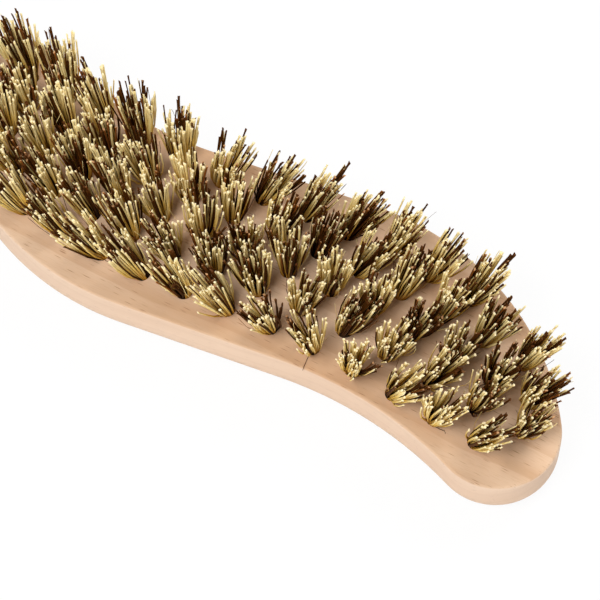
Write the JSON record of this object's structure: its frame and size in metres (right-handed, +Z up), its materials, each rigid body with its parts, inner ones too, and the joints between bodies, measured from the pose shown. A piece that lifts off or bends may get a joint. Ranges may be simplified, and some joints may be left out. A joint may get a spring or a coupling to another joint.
{
  "type": "scrub brush",
  "caption": "Wave-shaped wooden scrub brush with a flat back and staggered tufts of stiff mixed plant fibre that fan out towards the ends, each stapled into a blind hole.",
  "frame": {"origin": "middle of the block's flat back, about which the outline comes onto itself in a half turn", "axes": "+X along the block, +Y across it, +Z up from the flat back through the tufts"},
  "size_m": [0.21, 0.065, 0.035],
  "materials": {
    "block_wood": "fine sanded, bare",
    "plant_fibre": "coarse mixed straw and brown fibre",
    "staple_wire": "drawn flat wire"
  },
  "bodies": {
    "root": {"staple_row_1": "staple_wire", "staple_row_2": "staple_wire", "staple_row_3": "staple_wire", "staple_row_4": "staple_wire", "staple_row_5": "staple_wire", "tuft_column_01": "plant_fibre", "tuft_column_02": "plant_fibre", "tuft_column_03": "plant_fibre", "tuft_column_04": "plant_fibre", "tuft_column_05": "plant_fibre", "tuft_column_06": "plant_fibre", "tuft_column_07": "plant_fibre", "tuft_column_08": "plant_fibre", "tuft_column_09": "plant_fibre", "tuft_column_10": "plant_fibre", "tuft_column_11": "plant_fibre", "tuft_column_12": "plant_fibre", "tuft_column_13": "plant_fibre", "tuft_column_14": "plant_fibre", "tuft_column_15": "plant_fibre", "tuft_column_16": "plant_fibre", "tuft_column_17": "plant_fibre", "tuft_column_18": "plant_fibre", "tuft_column_19": "plant_fibre", "tuft_column_20": "plant_fibre", "tuft_column_21": "plant_fibre", "tuft_column_22": "plant_fibre", "tuft_column_23": "plant_fibre", "tuft_column_24": "plant_fibre", "tuft_column_25": "plant_fibre", "tuft_column_26": "plant_fibre", "tuft_column_27": "plant_fibre", "tuft_column_28": "plant_fibre", "tuft_column_29": "plant_fibre", "wooden_block": "block_wood"}
  },
  "joints": []
}
